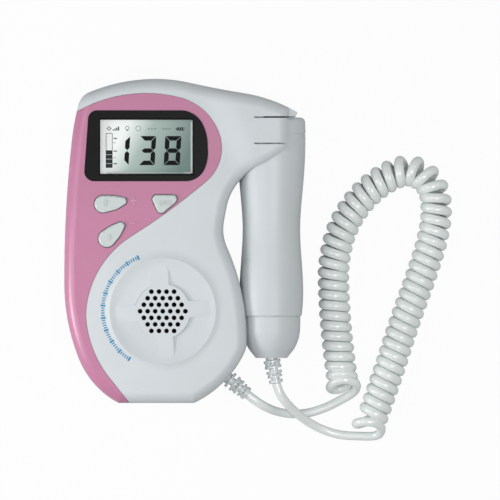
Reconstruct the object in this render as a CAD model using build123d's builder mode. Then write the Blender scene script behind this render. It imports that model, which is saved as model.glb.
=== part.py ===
"""Pocket fetal doppler monitor, in millimetres.

The unit lies on its back: the front face looks along +Z, the speaker end points
along -Y and the probe stands on the +X side, its head held in the clip arm.
The origin is the middle of the unit and probe in plan, at the height of the back.
"""

import os
from math import cos, pi, radians, sin, tan

from build123d import *

os.makedirs("parts", exist_ok=True)

# ---------------------------------------------------------------- case
CASE_LEFT = -50.7  # widest point of the left side
CASE_TOP = 68.05  # highest point of the top edge
CASE_BOTTOM = -68.05  # flat bottom end
FLAT_LEFT = -27.9  # the flat bottom runs from here
FLAT_RIGHT = 3.8  # to here
WAIST_Y = 7.5  # height of the narrowest point, where the fingers go
ARM_END = 43.7  # where the clip's tongue ends over the probe
ARM_LOW = 39.0  # lower end of the tongue
ARM_HIGH = 55.9  # upper end of the tongue
LIP = (47.3, 53.9)  # tip of the arm's top wall
CASE_FRONT = 30.0  # height of the front face
ARM_RISE = 4.2  # the arm stands this much higher over the probe
RAMP_TURN = 22.6  # degrees, direction in which the front rises
RAMP_FROM = 28.0  # along that direction
RAMP_TO = 44.0
SPLIT = 14.0  # parting line between the two shells
WALL = 2.2  # shell thickness
EDGE_R = 5.0  # rounding of the front edge
BACK_R = 3.6  # rounding of the back edge
PANEL_T = 1.2  # thickness of the pink panel
SEAM = 0.15  # gap between panel and shell
RUN_GAP = 0.3  # clearance round pieces that move
FIT = 0.1  # clearance round pieces that stay put

# ---------------------------------------------------------------- probe
PROBE_X = 36.3  # probe axis
PROBE_Z = 17.2
HEAD_R = 14.4  # largest radius, at the seam of the head cap
HEAD_TOP = 51.9  # sound face
HEAD_SEAM = 45.1
TAIL_SEAM = -31.6
TAIL_END = -49.2
GRIP_R = 12.1  # waist of the handle
HEEL_R = 13.4  # fullest point above the tail
TAIL_R = 12.2  # at the tail seam
TAIL_TIP_R = 6.6
PROBE_WALL = 1.8
DOCK_GAP = 0.4  # clearance round the docked head

SPIGOT_L = 3.0  # length of the spigots that join the caps to the handle
FACE_T = 1.2  # thickness of the sound face
CRYSTAL_T = 1.0
CRYSTAL_GAP = 0.6
BACKING_T = 4.0
SEAL_W = 1.2
SEAL_T = 0.8
PROBE_BOARD_T = 1.2
PROBE_BOARD_Y = (-26.0, 39.0)

# ---------------------------------------------------------------- display and keys
DISPLAY = (-16.1, 39.45)  # centre of the display
WINDOW_W = 38.8
WINDOW_H = 22.7
BEZEL_LIFT = 0.2  # the bezel stands this far proud of the panel
RIM = 1.2  # the lens reaches this far under the bezel
LENS_T = 1.0
LCD_T = 2.0
LIGHT_GUIDE_T = 3.6
BOARD_T = 1.6
SWITCH_T = 2.6
PLUNGER_T = 0.4
KEY_LIFT = 0.9  # the keys stand this far proud
KEY_TRAVEL = 0.8
KEY_RIM = 0.9  # width and thickness of the rim that keeps a key in
SWITCH_W = 6.0
PLUNGER_R = 1.7
BOARD = (-42.0, -7.4, 12.0, 53.8)  # left, low, right and high edge
BOARD_POST_R = 1.5
BOARD_POSTS = ((-40.0, 23.5), (9.6, 22.0), (-40.0, -4.5), (9.6, -4.5), (9.4, 49.0))
CHIP = (0.0, 3.5)  # place of the processor
CHIP_W = 7.0
CHIP_T = 1.2
SOCKETS_X = (4.0, -12.0)  # sockets for the leads of the probe and the speaker
SOCKETS_GAP = 4.65  # from the battery bay to the sockets
SOCKET_W = 8.0
SOCKET_D = 4.0
SOCKET_H = 5.0
CAPACITORS = ((-30.0, 30.0), (-22.0, 30.0))
CAPACITOR_R = 3.1
CAPACITOR_H = 7.0
SLOT_W = 0.7  # the slots that free the clip's tongue
SLOT_FROM = 29.0
SLOTS_Y = (HEAD_TOP, 40.9)
VOLUME_R = 3.65  # round end of the volume keys
KEY_WAIST_R = 3.05  # their middle, which makes their sides swell
KEY_TIP_R = 1.7
KEY_STEM_R = 1.4
POWER_R = 1.9
VOLUME_UP = (
    ((-34.3, 15.5), VOLUME_R),
    ((-29.8, 16.0), KEY_WAIST_R),
    ((-26.1, 16.65), KEY_TIP_R),
)
VOLUME_DOWN = (
    ((-32.65, 1.0), VOLUME_R),
    ((-29.75, 3.65), KEY_WAIST_R),
    ((-26.9, 6.3), KEY_TIP_R),
)
POWER = (((-11.8, 17.5), POWER_R), ((-5.2, 17.5), POWER_R), ((-9.9, 13.5), POWER_R))
KEY_STEMS = {"volume_up": (-31.0, 16.0), "volume_down": (-30.4, 3.2), "power": (-8.9, 16.1)}

# ---------------------------------------------------------------- loudspeaker
SPEAKER = (-9.3, -29.5)  # centre
GRILLE_R = 11.5
GRILLE_DROP = 0.1  # the grille disc lies this far under the front face
GRILLE_T = 2.4
DISH_R = 26.6  # foot of the low rim round the dish
DISH_SHOULDER_R = 23.9  # the rim falls steeply to here and then gently to its foot
DISH_SHOULDER_RISE = 0.3
DISH_RIM_R = 22.3  # crest of the rim
DISH_RIM_RISE = 0.85  # the crest stands this far over the front face
DISH_FLOOR_R = 18.4  # the floor turns up to the rim here
DISH_FLOOR_DROP = 0.22
DISH_DROP = 1.1  # depth of the floor at the grille
SPOKE_W = 6.9
SPOKE_TURN = 4.5  # degrees that the cross of spokes is turned
HOLE_R = 1.0
HOLE_PITCH = 3.17
HOLE_ROWS = 3  # rows of holes above and below the middle one
SPEAKER_R = 17.5
MAGNET_R = 8.0
MAGNET_T = 2.4
BASKET_T = 0.8
CONE_T = 0.5
CONE_TRAVEL = 0.3
FLANGE_W = 2.0

# ---------------------------------------------------------------- battery bay, screws, jack
CELL_R = 7.25
CELL_L = 49.2
TERMINAL_L = 1.3
CONTACT_ROOM = 2.0  # room for a contact at each end
BAY_WALL = 1.2
DOOR_T = 1.8
RAIL = 0.8  # width and thickness of the door's side rails
SCREW_R = 1.2
SCREW_HEAD_R = 2.3
SCREW_HEAD_T = 1.5
SCREW_SEAT = 3.2  # height of the face that the head pulls on
POST_R = 3.0
SCREWS = ((-39.4, 57.2), (10.5, 59.0), (-41.0, -31.0), (12.8, -44.0))
JACK_R = 1.75  # bore for a 3.5 mm plug
JACK_L = 12.0
JACK_W = 7.0
JACK_H = 6.0
JACK_NOSE_R = 2.8
JACK_X = -12.0

# ---------------------------------------------------------------- cord
CORD_D = 3.7
COIL_D = 13.0
RELIEF_R = 3.6  # widest ring of a strain relief
RELIEF_TIP_R = 2.9
RELIEF_RINGS = 5
FLANGE_T = 1.2  # flange that holds a strain relief inside its wall
NECK_R = 2.5  # where a strain relief passes through a wall
UNIT_RELIEF_L = 10.8  # outside the case
UNIT_EXIT = (17.9, -57.6)  # where it leaves the case
UNIT_EXIT_TURN = -40.0  # degrees, its direction
PROBE_RELIEF_L = 11.0
PROBE_EXIT_TURN = -79.0
COIL_ROUTE = (
    (66.34, -60.12),
    (63.82, -41.64),
    (62.35, -20.64),
    (62.35, -8.88),
    (65.5, 4.98),
    (73.06, 17.37),
    (83.14, 26.4),
    (93.22, 30.39),
    (101.2, 28.29),
    (105.19, 22.2),
    (106.24, 14.22),
    (105.19, 3.72),
    (100.36, -11.4),
    (91.54, -35.76),
    (85.24, -55.92),
    (78.73, -72.72),
)

# ================================================================ worked out
INSIDE_Z = CASE_FRONT - WALL  # inner face of the front wall
ARM_FRONT = CASE_FRONT + ARM_RISE
FAR = 4 * CASE_TOP  # longer than anything here
RAMP_X = Vector(cos(radians(RAMP_TURN)), sin(radians(RAMP_TURN)), 0)
RAMP_LINE = Vector(sin(radians(RAMP_TURN)), -cos(radians(RAMP_TURN)), 0)
PROBE_PLANE = Plane(origin=(PROBE_X, 0, PROBE_Z), x_dir=(1, 0, 0), z_dir=(0, 0, 1))
PROBE_AXIS = Axis((PROBE_X, 0, PROBE_Z), (0, 1, 0))
BAY_X = (FLAT_LEFT + FLAT_RIGHT) / 2
BAY_W = 4 * CELL_R + 3 * RUN_GAP
BAY_LOW = CASE_BOTTOM + WALL
BAY_L = CELL_L + TERMINAL_L + 2 * CONTACT_ROOM
CELL_Z = DOOR_T + RUN_GAP + CELL_R
BAY_TOP = CELL_Z + CELL_R + FIT
SPEAKER_BACK = BAY_TOP + BAY_WALL + FIT
SPEAKER_FACE = CASE_FRONT - GRILLE_DROP - GRILLE_T
JACK_Z = BAY_TOP + BAY_WALL + FIT + JACK_H / 2
LENS_TOP = CASE_FRONT - PANEL_T
LCD_TOP = LENS_TOP - LENS_T - FIT
BOARD_TOP = LCD_TOP - LCD_T - LIGHT_GUIDE_T
KEY_RIM_TOP = INSIDE_Z - RUN_GAP
KEY_STEM_LOW = BOARD_TOP + SWITCH_T + PLUNGER_T + KEY_TRAVEL + FIT


def write(piece, name):
    """Labels a finished piece and writes it."""
    piece.part.label = name
    export_step(piece.part, f"parts/{name}.step")


# ================================================================ outlines
def tangent_arcs(start, heading, ends):
    """Arcs from end to end, each one tangent to the one before."""
    for end in ends:
        arc = TangentArc(start, end, tangent=heading)
        start, heading = arc @ 1, arc % 1
    return start


def case_plan(inset=0.0):
    """Outline of the case and its arm, seen from the front."""
    top = (-12.2, CASE_TOP)
    bottom_right = (FLAT_RIGHT, CASE_BOTTOM)
    with BuildSketch() as plan:
        with BuildLine():
            arm_high = tangent_arcs(
                top, (1, 0), ((1.7, 66.5), (24.8, 62.0), (ARM_END, ARM_HIGH))
            )
            flat_left = tangent_arcs(
                top,
                (-1, 0),
                (
                    (-40.1, 62.5),
                    (-44.8, 57.1),
                    (-47.5, 42.5),
                    (CASE_LEFT, -18.4),
                    (-44.5, -49.7),
                    (FLAT_LEFT, CASE_BOTTOM),
                ),
            )
            Line(flat_left, bottom_right)
            arm_low = tangent_arcs(
                bottom_right,
                (0.905, 0.426),
                (
                    (25.0, -46.9),
                    (26.0, -42.5),
                    (17.6, -2.6),
                    (16.2, WAIST_Y),
                    (17.6, 15.1),
                    (31.0, 31.2),
                    (ARM_END, ARM_LOW),
                ),
            )
            Line(arm_low, arm_high)
        make_face()
        if inset:
            offset(amount=-inset, kind=Kind.INTERSECTION)
    return plan.sketch


def panel_plan(inset=0.0):
    """Everything on the pink side of the curve that divides the front."""
    outside = CASE_LEFT - WALL - EDGE_R
    with BuildSketch() as plan:
        with BuildLine():
            start = (-49.2, 52.0)
            end = tangent_arcs(
                start,
                (0.83, 0.558),
                (
                    (-2.2, 60.3),
                    (14.7, 44.4),
                    (9.1, 25.0),
                    (-22.4, 1.9),
                    (-41.3, -28.5),
                    (-41.3, -33.4),
                    (-31.3, -57.7),
                    (-21.4, CASE_BOTTOM - WALL),
                ),
            )
            Polyline(
                end, (outside, CASE_BOTTOM - WALL), (outside, start[1] - 5), start
            )
        make_face()
        if inset:
            offset(amount=-inset, kind=Kind.INTERSECTION)
    return plan.sketch


def key_plan(circles, grow=0.0):
    """Smooth outline round a key's circles, each a centre and a radius."""
    with BuildSketch() as plan:
        for centre, radius in circles:
            with Locations(centre):
                Circle(radius + grow)
        make_hull()
    return plan.sketch


def bezel_plan(grow=0.0):
    """The display frame: slanted on the left, a D on the right."""
    left, right = DISPLAY[0] - WINDOW_W / 2, DISPLAY[0] + WINDOW_W / 2
    low, high = DISPLAY[1] - WINDOW_H / 2, DISPLAY[1] + WINDOW_H / 2
    with BuildSketch() as plan:
        with BuildLine():
            corner = (left - 1.5, high + 3.9)
            top = Line(corner, (right - 5.0, high + 3.9))
            low_right = (right - 3.0, low - 3.0)
            tangent_arcs(top @ 1, (1, 0), ((right + 4.0, high - 1.6), (right + 6.2, DISPLAY[1])))
            tangent_arcs(
                low_right,
                (1, 0),
                ((right + 1.9, low - 1.5), (right + 5.0, low + 2.3), (right + 6.2, DISPLAY[1])),
            )
            base = Line(low_right, (left - 2.6, low - 3.0))
            heel = TangentArc(base @ 1, (left - 6.6, low + 1.4), tangent=(-1, 0))
            side = Line(heel @ 1, (left - 5.0, high + 0.6))
            TangentArc(side @ 1, corner, tangent=side % 1)
        make_face()
        if grow:
            offset(amount=grow, kind=Kind.INTERSECTION)
    return plan.sketch


def window_plan(grow=0.0):
    """The window in the bezel."""
    with BuildSketch() as plan:
        with Locations(DISPLAY):
            Rectangle(WINDOW_W + 2 * grow, WINDOW_H + 2 * grow)
    return plan.sketch


# ================================================================ shared spaces
def case_block(inset, low, ramped=True):
    """The front half of the case as a block with a rounded edge, inset all round."""
    front, rise = CASE_FRONT - inset, ARM_RISE if ramped else 0.0
    with BuildPart() as block:
        with BuildSketch(Plane.XY.offset(low)):
            add(case_plan(inset))
        extrude(amount=front + rise - low)
        if ramped:
            side = Plane(origin=(0, 0, 0), x_dir=RAMP_X, z_dir=RAMP_LINE)
            with BuildSketch(side.offset(-FAR)):
                with BuildLine():
                    flat = Line((-FAR, front), (RAMP_FROM, front))
                    slope = Spline(
                        flat @ 1, (RAMP_TO, front + rise), tangents=[(1, 0), (1, 0)]
                    )
                    Polyline(
                        slope @ 1, (FAR, front + rise), (FAR, low), (-FAR, low), flat @ 0
                    )
                make_face()
            extrude(amount=2 * FAR, mode=Mode.INTERSECT)
        rim = block.edges().filter_by(lambda e: e.bounding_box().min.Z > front - FIT)
        fillet(rim.filter_by(Axis((0, 0, 0), RAMP_LINE), reverse=True), EDGE_R - inset)
    return block.part


def back_block(inset, high):
    """The back half of the case as a block with a rounded edge, inset all round."""
    with BuildPart() as block:
        with BuildSketch(Plane.XY.offset(inset)):
            add(case_plan(inset))
        extrude(amount=high - inset)
        fillet(block.faces().sort_by(Axis.Z)[0].edges(), BACK_R - inset)
    return block.part


def dock_space(gap):
    """Room for the probe: a round socket open to +X, and a scoop in the bulge below."""
    top = HEAD_TOP + gap
    with BuildPart() as room:
        with BuildSketch(Plane.XZ.offset(-top)):
            with Locations((PROBE_X, PROBE_Z)):
                Circle(HEAD_R + gap)
            with Locations((PROBE_X + FAR / 2, PROBE_Z)):
                Rectangle(FAR, 2 * (HEAD_R + gap))
        extrude(amount=top - WAIST_Y)
        with BuildSketch(Plane.XZ.offset(-WAIST_Y)):
            with Locations((PROBE_X, PROBE_Z)):
                Circle(HEEL_R + gap)
        extrude(amount=FAR)
    return room.part


def exit_plane(point, turn, height):
    """A plane across a cord outlet, its normal along the cord."""
    along = (cos(radians(turn)), sin(radians(turn)), 0)
    return Plane(origin=(*point, height), x_dir=(0, 0, 1), z_dir=along)


UNIT_OUTLET = exit_plane(UNIT_EXIT, UNIT_EXIT_TURN, SPLIT)
PROBE_OUTLET = exit_plane((PROBE_X, TAIL_END), PROBE_EXIT_TURN, PROBE_Z)
DOCK = dock_space(DOCK_GAP)
DOCK_OUTSIDE = dock_space(DOCK_GAP + WALL)
KEYS = {"volume_up": VOLUME_UP, "volume_down": VOLUME_DOWN, "power": POWER}

# ================================================================ front shell and panel
with BuildSketch() as lip_plan:
    with BuildLine():
        dock_high = HEAD_TOP + DOCK_GAP
        Polyline(
            (ARM_END - WALL, dock_high),
            (LIP[0] - 0.9, dock_high),
            LIP,
            (ARM_END, ARM_HIGH),
            (ARM_END - WALL, dock_high),
        )
    make_face()

with BuildPart() as panel_bed:  # the skin that the panel takes the place of
    with BuildSketch(Plane.XY.offset(SPLIT)):
        add(panel_plan())
    extrude(amount=CASE_FRONT)
    add(case_block(PANEL_T, SPLIT - WALL, ramped=False), mode=Mode.SUBTRACT)

with BuildPart() as hollow_front:
    add(case_block(WALL, SPLIT))
    add(DOCK_OUTSIDE, mode=Mode.SUBTRACT)

with BuildPart() as dish:  # what the dish takes away, leaving grille and spokes
    with BuildSketch(Plane.XZ):
        with BuildLine():
            Polyline(
                (0, CASE_FRONT - DISH_DROP),
                (GRILLE_R, CASE_FRONT - DISH_DROP),
                (DISH_FLOOR_R, CASE_FRONT - DISH_FLOOR_DROP),
                (DISH_RIM_R, CASE_FRONT + DISH_RIM_RISE),
                (DISH_SHOULDER_R, CASE_FRONT + DISH_SHOULDER_RISE),
                (DISH_R, CASE_FRONT),
                (DISH_R + WALL, CASE_FRONT),
                (DISH_R + WALL, CASE_FRONT + WALL),
                (0, CASE_FRONT + WALL),
                close=True,
            )
        make_face()
    revolve(axis=Axis.Z)
    with BuildSketch(Plane.XY.offset(CASE_FRONT - DISH_DROP)):
        Circle(GRILLE_R)
        with Locations((0, 0, 0)):
            Rectangle(2 * DISH_RIM_R, SPOKE_W, rotation=SPOKE_TURN)
            Rectangle(SPOKE_W, 2 * DISH_RIM_R, rotation=SPOKE_TURN)
    extrude(amount=DISH_DROP - GRILLE_DROP, mode=Mode.SUBTRACT)
dish_cut = dish.part.moved(Location((*SPEAKER, 0)))

holes = [
    (
        SPEAKER[0] + (column - (2 * HOLE_ROWS - abs(row)) / 2) * HOLE_PITCH,
        SPEAKER[1] + row * HOLE_PITCH * cos(radians(30)),
    )
    for row in range(-HOLE_ROWS, HOLE_ROWS + 1)
    for column in range(2 * HOLE_ROWS + 1 - abs(row))
]

with BuildPart() as front_shell:
    add(case_block(0.0, SPLIT))
    with BuildSketch(Plane.XY.offset(SPLIT)):
        add(lip_plan.sketch)
    extrude(amount=CASE_FRONT - SPLIT)
    add(hollow_front.part, mode=Mode.SUBTRACT)
    add(panel_bed.part, mode=Mode.SUBTRACT)
    # low rim of the dish, and the seat and collar of the speaker behind it
    with BuildSketch(Plane.XY.offset(SPEAKER_FACE)):
        with Locations(SPEAKER):
            Circle(DISH_R)
    extrude(amount=CASE_FRONT + DISH_RIM_RISE + FIT - SPEAKER_FACE)
    with BuildSketch(Plane.XY.offset(SPEAKER_FACE - MAGNET_T)):
        with Locations(SPEAKER):
            Circle(SPEAKER_R + FIT + BAY_WALL)
            Circle(SPEAKER_R + FIT, mode=Mode.SUBTRACT)
    extrude(amount=MAGNET_T)
    # posts for the case screws and the board
    with BuildSketch(Plane.XY.offset(SPLIT)):
        with Locations(*SCREWS):
            Circle(POST_R)
    extrude(amount=INSIDE_Z - SPLIT + FIT)
    with BuildSketch(Plane.XY.offset(SPLIT)):
        with Locations(*SCREWS):
            Circle(SCREW_R + FIT / 2)
    extrude(amount=(INSIDE_Z - SPLIT) / 2, mode=Mode.SUBTRACT)
    with BuildSketch(Plane.XY.offset(BOARD_TOP)):
        with Locations(*BOARD_POSTS):
            Circle(BOARD_POST_R)
    extrude(amount=INSIDE_Z - BOARD_TOP + FIT)
    # openings
    add(DOCK, mode=Mode.SUBTRACT)
    add(dish_cut, mode=Mode.SUBTRACT)
    with BuildSketch(Plane.XY.offset(SPEAKER_FACE - FIT)):
        with Locations(*holes):
            Circle(HOLE_R)
    extrude(amount=WALL + GRILLE_T, mode=Mode.SUBTRACT)
    with BuildSketch(Plane.XY.offset(INSIDE_Z - FIT)):
        add(window_plan(RIM))
    extrude(amount=WALL, mode=Mode.SUBTRACT)
    with BuildSketch(Plane.XY.offset(INSIDE_Z - FIT)):
        for circles in KEYS.values():
            add(key_plan(circles, RUN_GAP))
    extrude(amount=2 * WALL, mode=Mode.SUBTRACT)
    with BuildSketch(UNIT_OUTLET.offset(-3 * WALL)):
        Circle(NECK_R + FIT)
    extrude(amount=5 * WALL, mode=Mode.SUBTRACT)
    with BuildSketch(Plane.XZ.offset(-CASE_BOTTOM)):
        with Locations((JACK_X, JACK_Z)):
            Circle(JACK_NOSE_R + FIT)
    extrude(amount=-2 * WALL, mode=Mode.SUBTRACT)
    slot_l = 2 * (ARM_END - SLOT_FROM)
    with BuildSketch(Plane.XY.offset(PROBE_Z + HEAD_R)):
        with Locations(*((SLOT_FROM + slot_l / 2, y) for y in SLOTS_Y)):
            SlotOverall(slot_l, SLOT_W)
    extrude(amount=HEAD_R, mode=Mode.SUBTRACT)
write(front_shell, "front_shell")

with BuildPart() as pink_panel:
    with BuildSketch(Plane.XY.offset(SPLIT)):
        add(panel_plan(SEAM))
    extrude(amount=CASE_FRONT)
    add(case_block(0.0, SPLIT, ramped=False), mode=Mode.INTERSECT)
    add(case_block(PANEL_T, SPLIT - WALL, ramped=False), mode=Mode.SUBTRACT)
    with BuildSketch(Plane.XY.offset(CASE_FRONT - PANEL_T - FIT)):
        add(bezel_plan(FIT))
        for circles in KEYS.values():
            add(key_plan(circles, RUN_GAP))
    extrude(amount=2 * PANEL_T, mode=Mode.SUBTRACT)
write(pink_panel, "pink_panel")

# ================================================================ back shell and bay
BAY_MID_Y = BAY_LOW + BAY_L / 2
DOOR_W = BAY_W - 2 * (RAIL + RUN_GAP)
DOOR_LIP = DOOR_T - RAIL - RUN_GAP  # the rails of the door run on this

with BuildPart() as hollow_back:
    add(back_block(WALL, SPLIT))
    add(DOCK_OUTSIDE, mode=Mode.SUBTRACT)

with BuildPart() as rear_shell:
    add(back_block(0.0, SPLIT))
    with BuildSketch(Plane.XY.offset(EDGE_R)):
        add(lip_plan.sketch)
    extrude(amount=SPLIT - EDGE_R)
    add(hollow_back.part, mode=Mode.SUBTRACT)
    # battery bay with its ceiling, open to the door
    with BuildSketch(Plane.XY.offset(WALL - FIT)):
        with Locations((BAY_X, BAY_MID_Y + BAY_WALL / 2)):
            Rectangle(BAY_W + 2 * BAY_WALL, BAY_L + BAY_WALL)
    extrude(amount=BAY_TOP + BAY_WALL - WALL + FIT)
    with BuildSketch(Plane.XY.offset(DOOR_LIP)):
        with Locations((BAY_X, BAY_MID_Y)):
            Rectangle(BAY_W, BAY_L)
    extrude(amount=BAY_TOP - DOOR_LIP, mode=Mode.SUBTRACT)
    # above the parting line the bay stands clear of the front shell's wall
    with BuildSketch(Plane.XY.offset(SPLIT)):
        add(case_plan())
        add(case_plan(WALL + FIT), mode=Mode.SUBTRACT)
    extrude(amount=BAY_TOP, mode=Mode.SUBTRACT)
    # the way that the door slides out, through the flat bottom
    with BuildSketch(Plane.XZ.offset(-BAY_LOW - BAY_L)):
        with Locations((BAY_X, 0)):
            Rectangle(DOOR_W + 2 * RUN_GAP, 3 * DOOR_T)
        with Locations((BAY_X, (DOOR_LIP + DOOR_T + RUN_GAP) / 2)):
            Rectangle(BAY_W, DOOR_T + RUN_GAP - DOOR_LIP)
    extrude(amount=BAY_L + 2 * WALL, mode=Mode.SUBTRACT)
    # posts for the case screws, with sunk heads
    with BuildSketch(Plane.XY.offset(WALL - FIT)):
        with Locations(*SCREWS):
            Circle(POST_R)
    extrude(amount=SPLIT - WALL)
    with BuildSketch(Plane.XY):
        with Locations(*SCREWS):
            Circle(SCREW_R + FIT)
    extrude(amount=SPLIT, mode=Mode.SUBTRACT)
    with BuildSketch(Plane.XY):
        with Locations(*SCREWS):
            Circle(SCREW_HEAD_R + FIT)
    extrude(amount=SCREW_SEAT, mode=Mode.SUBTRACT)
    add(DOCK, mode=Mode.SUBTRACT)
    with BuildSketch(UNIT_OUTLET.offset(-3 * WALL)):
        Circle(NECK_R + FIT)
    extrude(amount=5 * WALL, mode=Mode.SUBTRACT)
write(rear_shell, "rear_shell")

with BuildPart() as battery_door:
    door_l = BAY_LOW + BAY_L - RUN_GAP - CASE_BOTTOM
    door_y = CASE_BOTTOM + door_l / 2
    with BuildSketch(Plane.XY):
        with Locations((BAY_X, door_y)):
            Rectangle(DOOR_W, door_l)
    extrude(amount=DOOR_T)
    with BuildSketch(Plane.XY.offset(DOOR_T - RAIL)):
        with Locations((BAY_X, door_y)):
            Rectangle(DOOR_W + 2 * RAIL, door_l)
    extrude(amount=RAIL)
    add(back_block(0.0, SPLIT), mode=Mode.INTERSECT)
    # thumb grooves
    with BuildSketch(Plane.XY):
        with Locations((BAY_X, BAY_MID_Y - BAY_L / 4)):
            with GridLocations(0, 2.4, 1, 5):
                SlotOverall(DOOR_W / 2, 1.0)
    extrude(amount=DOOR_T / 4, mode=Mode.SUBTRACT)
write(battery_door, "battery_door")

CELL_X = (CELL_R + RUN_GAP / 2, -CELL_R - RUN_GAP / 2)
with BuildPart() as battery_cells:
    for side, turn in zip(CELL_X, (1, -1)):
        # the second cell lies the other way round
        middle = (BAY_X + side, BAY_MID_Y, CELL_Z)
        along = Plane(origin=middle, x_dir=(1, 0, 0), z_dir=(0, turn, 0))
        with BuildSketch(along.offset(-(CELL_L + TERMINAL_L) / 2)):
            Circle(CELL_R)
        extrude(amount=CELL_L)
        with BuildSketch(along.offset((CELL_L - TERMINAL_L) / 2)):
            Circle(CELL_R / 3)
        extrude(amount=TERMINAL_L)
write(battery_cells, "battery_cells")

with BuildPart() as battery_contacts:
    for side in CELL_X:
        for turn in (1, -1):
            wall = Plane(
                origin=(BAY_X + side, BAY_MID_Y + turn * BAY_L / 2, CELL_Z),
                x_dir=(1, 0, 0),
                z_dir=(0, -turn, 0),
            )
            with BuildSketch(wall.offset(FIT / 2)):
                Rectangle(CELL_R, CELL_R)
            extrude(amount=0.5)
            with BuildSketch(wall.offset(0.5)):
                Circle(CELL_R / 3)
            extrude(amount=CONTACT_ROOM - 0.5 - FIT)
write(battery_contacts, "battery_contacts")

with BuildPart() as case_screws:
    with BuildSketch(Plane.XY.offset(SCREW_SEAT - SCREW_HEAD_T)):
        with Locations(*SCREWS):
            Circle(SCREW_HEAD_R)
    extrude(amount=SCREW_HEAD_T)
    with BuildSketch(Plane.XY.offset(SCREW_SEAT)):
        with Locations(*SCREWS):
            Circle(SCREW_R)
    extrude(amount=(INSIDE_Z + SPLIT) / 2 - SCREW_SEAT - 2 * FIT)
    # cross recess
    with BuildSketch(Plane.XY.offset(SCREW_SEAT - SCREW_HEAD_T)):
        with Locations(*SCREWS):
            Rectangle(1.3 * SCREW_HEAD_R, 0.25 * SCREW_HEAD_R)
            Rectangle(0.25 * SCREW_HEAD_R, 1.3 * SCREW_HEAD_R)
    extrude(amount=SCREW_HEAD_T / 2, mode=Mode.SUBTRACT)
write(case_screws, "case_screws")

# ================================================================ display
with BuildPart() as screen_bezel:
    with BuildSketch(Plane.XY.offset(LENS_TOP)):
        add(bezel_plan())
        add(window_plan(), mode=Mode.SUBTRACT)
    extrude(amount=PANEL_T + BEZEL_LIFT)
    chamfer(
        screen_bezel.faces().sort_by(Axis.Z)[-1].inner_wires()[0].edges(),
        PANEL_T / 2,
    )
write(screen_bezel, "screen_bezel")

with BuildPart() as display_window:
    with BuildSketch(Plane.XY.offset(LENS_TOP - LENS_T)):
        add(window_plan(RIM - FIT))
    extrude(amount=LENS_T)
write(display_window, "display_window")

LCD_RIM = RIM + 0.4  # how far the glass cell reaches beyond the window
with BuildPart() as lcd_panel:
    with BuildSketch(Plane.XY.offset(LCD_TOP - LCD_T)):
        add(window_plan(LCD_RIM))
    extrude(amount=LCD_T)
write(lcd_panel, "lcd_panel")

with BuildPart() as lcd_holder:
    with BuildSketch(Plane.XY.offset(BOARD_TOP)):
        add(window_plan(LCD_RIM + BAY_WALL))
    extrude(amount=LIGHT_GUIDE_T + LCD_T - FIT)
    with BuildSketch(Plane.XY.offset(LCD_TOP - LCD_T)):
        add(window_plan(LCD_RIM + FIT))
    extrude(amount=LCD_T, mode=Mode.SUBTRACT)
write(lcd_holder, "lcd_holder")

# ================================================================ board and keys
BOARD_MID = ((BOARD[0] + BOARD[2]) / 2, (BOARD[1] + BOARD[3]) / 2)
with BuildPart() as main_board:
    with BuildSketch(Plane.XY.offset(BOARD_TOP - BOARD_T)):
        with Locations(BOARD_MID):
            Rectangle(BOARD[2] - BOARD[0], BOARD[3] - BOARD[1])
    extrude(amount=BOARD_T)
write(main_board, "main_board")

with BuildPart() as key_switches:
    with BuildSketch(Plane.XY.offset(BOARD_TOP)):
        with Locations(*KEY_STEMS.values()):
            Rectangle(SWITCH_W, SWITCH_W)
    extrude(amount=SWITCH_T)
    with BuildSketch(Plane.XY.offset(BOARD_TOP + SWITCH_T)):
        with Locations(*KEY_STEMS.values()):
            Circle(PLUNGER_R)
    extrude(amount=PLUNGER_T)
write(key_switches, "key_switches")


def make_key(name, circles):
    """A key: a cap in its hole, a rim behind the face and a stem over the switch."""
    with BuildPart() as key:
        with BuildSketch(Plane.XY.offset(KEY_RIM_TOP)):
            add(key_plan(circles))
        extrude(amount=CASE_FRONT + KEY_LIFT - KEY_RIM_TOP)
        fillet(key.faces().sort_by(Axis.Z)[-1].edges(), KEY_LIFT - FIT)
        with BuildSketch(Plane.XY.offset(KEY_RIM_TOP - KEY_RIM)):
            add(key_plan(circles, KEY_RIM))
        extrude(amount=KEY_RIM)
        with BuildSketch(Plane.XY.offset(KEY_STEM_LOW)):
            with Locations(KEY_STEMS[name]):
                Circle(KEY_STEM_R)
        extrude(amount=KEY_RIM_TOP - KEY_STEM_LOW)
    write(key, f"button_{name}")


for key_name, key_circles in KEYS.items():
    make_key(key_name, key_circles)

with BuildPart() as processor_chip:
    with BuildSketch(Plane.XY.offset(BOARD_TOP)):
        with Locations(CHIP):
            Rectangle(CHIP_W, CHIP_W)
    extrude(amount=CHIP_T)
write(processor_chip, "processor_chip")

with BuildPart() as board_parts:
    # sockets for the probe and speaker leads, and two capacitors, under the board
    sockets_y = BAY_LOW + BAY_L + BAY_WALL + SOCKETS_GAP + SOCKET_D / 2
    with BuildSketch(Plane.XY.offset(BOARD_TOP - BOARD_T)):
        with Locations(*((x, sockets_y) for x in SOCKETS_X)):
            Rectangle(SOCKET_W, SOCKET_D)
    extrude(amount=-SOCKET_H)
    with BuildSketch(Plane.XY.offset(BOARD_TOP - BOARD_T)):
        with Locations(*CAPACITORS):
            Circle(CAPACITOR_R)
    extrude(amount=-CAPACITOR_H)
write(board_parts, "board_parts")

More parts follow.
